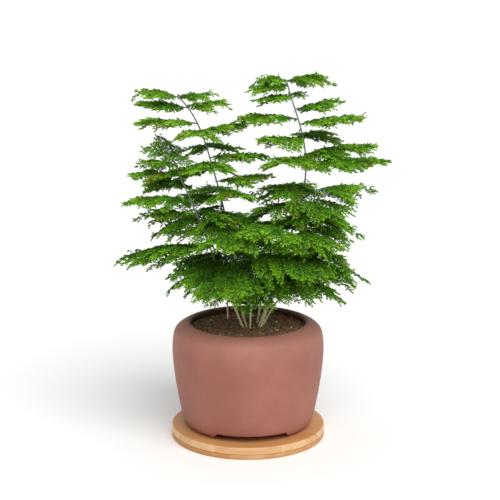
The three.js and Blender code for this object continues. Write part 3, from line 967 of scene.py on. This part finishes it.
class Frond:
    """One flat frond, worked out in its own plane: side branches fill the outline, twigs run
    along both sides of each branch, and thread-like leaves stand round each twig. Low fronds
    are darker and high ones paler, which is their tone: partly older growth low down, and
    partly painted shade low down and painted light high up."""

    def __init__(self, lie, fern, needles, rng, tone):
        self.lie, self.fern, self.needles, self.rng = lie, fern, needles, rng
        height = lie.base[2]
        # Tone by height: partly older growth, and partly painted shade on the low fronds.
        self.tone = tone - 0.08 * (1 - smoothstep(height, 160 * MM, 250 * MM))
        # Painted light: the highest fronds are paled for the light on their tops.
        self.tone += 0.05 * smoothstep(height, 240 * MM, 320 * MM)
        self.branches()
        self.twigs()
        self.leaves()

    def branches(self):
        """Side branches leave the rib alternately, leaning forward more towards the tip. Each is
        as long as it takes to meet the outline, found by stepping four times, give or take a
        tenth, and stops 2 mm beyond the level of the rib's tip at the latest."""
        rng, size = self.rng, self.lie.length
        count = max(6, int(round(size / self.fern.branch_pitch)) * 2)
        share = (np.arange(count) + 0.5) / count
        self.branch_at = (0.02 + 0.945 * share) * size
        hand = np.where(np.arange(count) % 2, 1.0, -1.0)
        lean = np.radians(66 - 26 * share + rng.normal(0, 3.0, count))
        reach = np.full(count, 3 * MM)
        for _ in range(4):
            meets = (self.branch_at + reach * np.cos(lean)) / size
            reach = half_width(meets, self.lie.width) / np.sin(lean)
        reach = reach * rng.uniform(0.9, 1.1, count) + 1.2 * MM
        self.branch_reach = np.minimum(reach, (size - self.branch_at) / np.cos(lean) + 2 * MM)
        self.branch_way = np.stack([np.cos(lean), hand * np.sin(lean)], -1)
        self.branch_lift = rng.normal(1.2, 2.7, count) * MM
        self.branch_sag = rng.uniform(0.04, 0.14, count) * self.branch_reach
        self.branch_age = rng.normal(0, 0.05, count)
        self.branch_hue = rng.uniform(0.02, 0.98, count)

    def on_branch(self, owner, share):
        """The point at a share of a branch, which curls forward and sags with the share squared."""
        run = self.branch_reach[owner] * share
        flat = self.branch_way[owner] * run[:, None]
        forward = 0.1 * self.branch_reach[owner] * share**2
        height = self.branch_lift[owner] * share - self.branch_sag[owner] * share**2
        return np.stack([self.branch_at[owner] + flat[:, 0] + forward, flat[:, 1], height], -1)

    def twigs(self):
        """Twigs alternate along each branch, shorter towards its end, and the last runs straight
        on from it."""
        rng = self.rng
        counts = np.maximum(3, (self.branch_reach / self.fern.twig_pitch * 2).astype(int))
        owner, share, order = offspring(counts)
        last = order == counts[owner] - 1
        hand = np.where(order % 2, 1.0, -1.0)
        swing = np.where(last, 0, hand * np.radians(50 + rng.normal(0, 7, len(owner))))
        flat = turn_flat(self.branch_way[owner], swing)
        swell = np.minimum(1, 0.55 + share * 4) * (1 - 0.34 * share)
        room = np.minimum(1, self.branch_reach[owner] / (9 * MM) + 0.3)
        self.twig_reach = self.fern.twig_length * swell * room * rng.uniform(0.8, 1.15, len(owner))
        self.twig_way = np.column_stack([flat, rng.normal(0.06, 0.22, len(owner))])
        self.twig_start = self.on_branch(owner, share)
        self.twig_owner, self.twig_share = owner, share

    def leaves(self):
        """Leaves spread from points along each twig, leaning out all round it, a little less
        above and below than to the sides, and less towards the twig's end. Their age rises
        along the branch, the twig and the rib."""
        rng, fern = self.rng, self.fern
        counts = np.full(len(self.twig_reach), self.needles)
        owner, share, _ = offspring(counts)
        start = self.twig_start[owner] + self.twig_way[owner] * (self.twig_reach[owner] * share)[:, None]
        spread = np.radians(rng.uniform(18, 62, len(owner))) * (1 - 0.35 * share)
        around = rng.uniform(0, 2 * np.pi, len(owner))
        way = self.twig_way[owner]
        across = np.column_stack([-way[:, 1], way[:, 0], np.zeros(len(owner))])
        turned_out = across * np.cos(around)[:, None] + UP * (0.8 * np.sin(around))[:, None]
        way = way * np.cos(spread)[:, None] + turned_out * np.sin(spread)[:, None]
        size = fern.needle_length * rng.uniform(0.7, 1.1, len(owner))
        size = size * (0.62 + 0.38 * np.minimum(1, self.twig_reach[owner] / (4 * MM)))
        self.leaf_start, self.leaf_reach = start, way * size[:, None]
        self.leaf_radius = fern.needle_radius * rng.uniform(0.8, 1.15, len(owner))
        branch = self.twig_owner[owner]
        age = 0.3 + 0.3 * self.twig_share[owner] ** 1.5 + 0.14 * share + self.branch_age[branch]
        age = age + 0.1 * self.branch_at[branch] / self.lie.length + rng.normal(0, 0.05, len(owner))
        # The tone carries the painted shade and painted light into the leaves' age.
        self.leaf_age = np.clip(age + self.tone, 0.13, 0.9)
        self.leaf_hue = self.branch_hue[branch]

    def stems(self):
        """The rib as a thin rod from the cane, each branch as four spindles that overlap, and
        each twig as one."""
        lie, fern = self.lie, self.fern
        share = np.linspace(0, 1, 24)
        line = lie.bend(np.stack([share * lie.length, 0 * share, 0 * share], -1))
        line = np.vstack([lie.root, line])
        thin = np.linspace(1.0, 0.3, len(line)) * fern.rib_radius
        rib = skin(sweep(line, thin, 6))
        owner, share, _ = offspring(np.full(len(self.branch_at), 4))
        first = self.on_branch(owner, share - 0.125)
        second = self.on_branch(owner, share + 0.15)
        starts = np.vstack([first, self.twig_start])
        ends = np.vstack([second, self.twig_start + self.twig_way * self.twig_reach[:, None]])
        starts, ends = lie.bend(starts), lie.bend(ends)
        radius = np.repeat([BRANCH_RADIUS, TWIG_RADIUS], [len(first), len(self.twig_reach)])
        return rib, spindles(starts, ends - starts, radius)

    def mesh(self):
        """Everything as one mesh, with the map that its colour is read from: across it the age,
        which rises along a leaf, and up it the hue. Stems lie at its start, and each leaf has a
        little width on the map, so that no face of it is flat there."""
        rib, stems = self.stems()
        start = self.lie.bend(self.leaf_start)
        reach = self.lie.bend(self.leaf_start + self.leaf_reach) - start
        leaves = spindles(start, reach, self.leaf_radius)
        points, faces = joined([rib, stems, leaves])
        wood = len(rib[0]) + len(stems[0])
        place = np.empty((len(points), 2))
        place[:wood, 0] = 0.02 + 0.03 * (np.arange(wood) % 2)
        place[:wood, 1] = 0.5 + 0.02 * (np.arange(wood) % 3)
        along = np.array([0.0, 0.1, 0.045, 0.05, 0.055])
        wide = np.array([0.0, 0.0, -0.005, 0.005, 0.0])
        place[wood:, 0] = (self.leaf_age[:, None] + along).ravel()
        place[wood:, 1] = (self.leaf_hue[:, None] + wide).ravel()
        return points, faces, place


# Small fronds between the big ones: the cane, the height on it, the direction in degrees round
# from +X, the length, the width, the rise in degrees, the sag at the tip and the roll in
# degrees. Lengths are in millimetres.
SHOOTS = [
    ("left_tall", 333, 15, 34, 44, 8, 4, 0), ("right_tall", 343, 195, 36, 40, 4, 8, 0),
    ("right_tall", 334, 20, 13, 22, 10, 2, 0), ("right_front", 242, 165, 34, 64, 16, 10, -8),
    ("right_low", 163, -70, 40, 56, 0, 14, 0), ("left_tall", 262, 172, 50, 60, 6, 12, 0),
    ("left_tall", 236, 160, 50, 64, 6, 14, 0), ("left_front", 226, 15, 50, 64, 4, 14, 0),
    ("left_front", 208, 40, 54, 70, 2, 14, 0), ("left_tall", 214, -120, 56, 76, 4, 18, 0),
    ("left_tall", 196, -20, 60, 80, 4, 18, 10), ("left_tall", 176, 190, 60, 80, 2, 20, -10),
    ("left_front", 176, -100, 60, 76, 2, 22, 0), ("right_tall", 208, 165, 60, 80, 4, 18, -10),
    ("right_tall", 190, -60, 60, 80, 2, 20, 0), ("right_tall", 176, 30, 60, 80, 0, 18, 10),
    ("right_front", 186, -30, 60, 80, 4, 20, 10), ("right_front", 168, -110, 56, 76, -4, 20, 0),
    ("front", 168, 175, 56, 76, -4, 20, -10), ("front", 172, 10, 56, 76, -2, 20, 10),
    ("back_left", 172, -160, 60, 80, -4, 18, -10), ("back_right", 170, -10, 60, 80, -4, 18, 10),
    ("left_tall", 184, 8, 60, 84, -6, 18, -10), ("back_left", 186, -40, 60, 84, -8, 20, 0),
    ("front", 180, -150, 56, 76, -8, 20, -8), ("front", 164, -62, 42, 62, -14, 9, 0),
    ("back_left", 156, -100, 42, 64, -12, 9, 0), ("back_right", 158, -72, 42, 64, -12, 8, 0),
    ("right_low", 160, -120, 40, 58, -12, 8, 0), ("right_front", 224, 150, 44, 64, -8, 14, 8),
    ("right_tall", 232, -50, 52, 76, -10, 16, 0), ("right_tall", 222, 40, 50, 72, -8, 16, 0),
    ("right_front", 214, 20, 46, 66, -8, 14, 0), ("left_front", 222, 170, 44, 64, -10, 16, 0),
    ("left_tall", 228, 188, 52, 72, -8, 18, 0),
    ("left_front", 288, -95, 22, 44, -2, 3, 0), ("left_front", 297, -90, 19, 42, -30, 3, 0),
    ("left_tall", 216, -12, 62, 84, -2, 14, -8), ("right_front", 206, -60, 46, 66, -4, 14, 0),
    ("right_tall", 277, -45, 44, 60, 2, 7, 0), ("right_front", 238, -55, 42, 62, -2, 9, 0),
    ("front", 152, -95, 30, 40, -20, 5, 0), ("back_left", 141, -30, 34, 54, -12, 5, 0),
    ("back_right", 143, -160, 34, 54, -12, 5, 0),
]


class FERN_OT_shoots(bpy.types.Operator):
    """Grows small fronds that fill out the plant between the big ones"""

    bl_idname = "fern.shoots"
    bl_label = "Small shoots"

    def execute(self, context):
        fern = context.scene.fern_plant
        material = bpy.data.materials.get("leaf") or leaf_material(fern)
        for order, (cane, height, turn, size, width, rise, sag, roll) in enumerate(SHOOTS):
            rng = np.random.default_rng(3000 + order)
            lie = Lie.grown(cane, height * MM, turn, size * MM, width * MM, rise, sag * MM, roll)
            frond = Frond(lie, fern, fern.shoot_needles, rng, rng.normal(-0.02, 0.04))
            points, faces, place = frond.mesh()
            make_piece(f"shoot_{order + 1}", points, faces, material, bake_map=place)
        return {"FINISHED"}


class FERN_OT_fronds(bpy.types.Operator):
    """Grows a feathery frond in the place of each frond's solid"""

    bl_idname = "fern.fronds"
    bl_label = "Fronds"

    def execute(self, context):
        fern = context.scene.fern_plant
        material = leaf_material(fern)
        names = sorted(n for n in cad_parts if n.startswith("spray_"))
        for order, name in enumerate(names):
            rng = np.random.default_rng(1000 + order)
            frond = Frond(Lie.read(name), fern, fern.needles, rng, rng.normal(0, 0.03))
            points, faces, place = frond.mesh()
            piece = name.replace("spray_", "frond_")
            make_piece(piece, points, faces, material, (name,), bake_map=place)
        return {"FINISHED"}


# ---------------------------------------------------------------- stage


KEY_FROM = (0.35, -0.75, 1.0)  # the way to the main light
KEY_SPREAD = math.radians(50)  # how wide the main light is in the sky, which softens shadows
EYE = (1.9 * MM, -1.22225, 0.45168)
EYE_DIP = 0.2150  # radians below level


class FERN_OT_stage(bpy.types.Operator):
    """Sets the pale floor, the soft lights and the camera"""

    bl_idname = "fern.stage"
    bl_label = "Stage"

    def execute(self, context):
        stage = context.scene.fern_stage
        floor = turned(np.array([[0.02, 0.0], [0.3, 0.0], [1.0, 0.0], [4.0, 0.0], [30.0, 0.0]]), 96)
        thick = turned(np.array([[30.0, -0.02], [0.02, -0.02]]), 96)
        points, faces = skin(np.concatenate([floor, thick]))
        mesh = bpy.data.meshes.new("floor")
        mesh.from_pydata(points.tolist(), [], [f for group in faces for f in group.tolist()])
        shader = Shader("floor", roughness=0.9, specular=0.1)
        cloud = shader.noise(3.0, 2.0)
        mesh.materials.append(shader.finish(shader.mix(cloud * 0.06, stage.floor, (0.85, 0.85, 0.86))))
        ground = bpy.data.objects.new("floor", mesh)
        context.scene.collection.objects.link(ground)
        world = bpy.data.worlds.new("studio")
        world.use_nodes = True
        world.node_tree.nodes["Background"].inputs["Color"].default_value = (1, 1, 1, 1)
        world.node_tree.nodes["Background"].inputs["Strength"].default_value = stage.fill
        context.scene.world = world
        context.scene.view_settings.view_transform = "Standard"
        light = bpy.data.lights.new("key", "SUN")
        light.energy, light.angle = stage.key, KEY_SPREAD
        lamp = bpy.data.objects.new("key", light)
        lamp.rotation_euler = Vector(KEY_FROM).to_track_quat("Z", "Y").to_euler()
        context.scene.collection.objects.link(lamp)
        camera = bpy.data.cameras.new("camera")
        camera.lens, camera.sensor_width, camera.clip_end = stage.lens, 36.0, 60.0
        eye = bpy.data.objects.new("camera", camera)
        eye.location = EYE
        eye.rotation_euler = (math.pi / 2 - EYE_DIP, 0, 0)
        context.scene.collection.objects.link(eye)
        context.scene.camera = eye
        return {"FINISHED"}


# ---------------------------------------------------------------- panel and registration

MAKERS = ("board", "pot", "drain_mesh", "soil", "crown", "canes", "fronds", "shoots", "stage")
SETTINGS = {
    "fern_plant": FernSettings, "fern_pot": PotSettings, "fern_soil": SoilSettings,
    "fern_board": BoardSettings, "fern_stage": StageSettings,
}


class FERN_PT_panel(bpy.types.Panel):
    """Lists the pieces to make and the settings that they read"""

    bl_idname = "FERN_PT_panel"
    bl_label = "Potted lace fern"
    bl_space_type = "VIEW_3D"
    bl_region_type = "UI"
    bl_category = "Fern"

    def draw(self, context):
        for maker in MAKERS:
            self.layout.operator("fern." + maker)
        for name, kind in SETTINGS.items():
            box = self.layout.box()
            for field in kind.__annotations__:
                box.prop(getattr(context.scene, name), field)


CLASSES = (
    *SETTINGS.values(), FERN_OT_board, FERN_OT_pot, FERN_OT_drain_mesh, FERN_OT_soil, FERN_OT_crown,
    FERN_OT_canes, FERN_OT_fronds, FERN_OT_shoots, FERN_OT_stage, FERN_PT_panel,
)


def register():
    """Registers the classes, and puts each group of settings on the scene."""
    for each in CLASSES:
        bpy.utils.register_class(each)
    for name, kind in SETTINGS.items():
        setattr(bpy.types.Scene, name, PointerProperty(type=kind))


def unregister():
    """Undoes register()."""
    for name in SETTINGS:
        delattr(bpy.types.Scene, name)
    for each in reversed(CLASSES):
        bpy.utils.unregister_class(each)


def main():
    """Makes every piece in order."""
    register()
    for maker in MAKERS:
        getattr(bpy.ops.fern, maker)()
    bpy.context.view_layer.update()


if __name__ == "__main__":
    main()
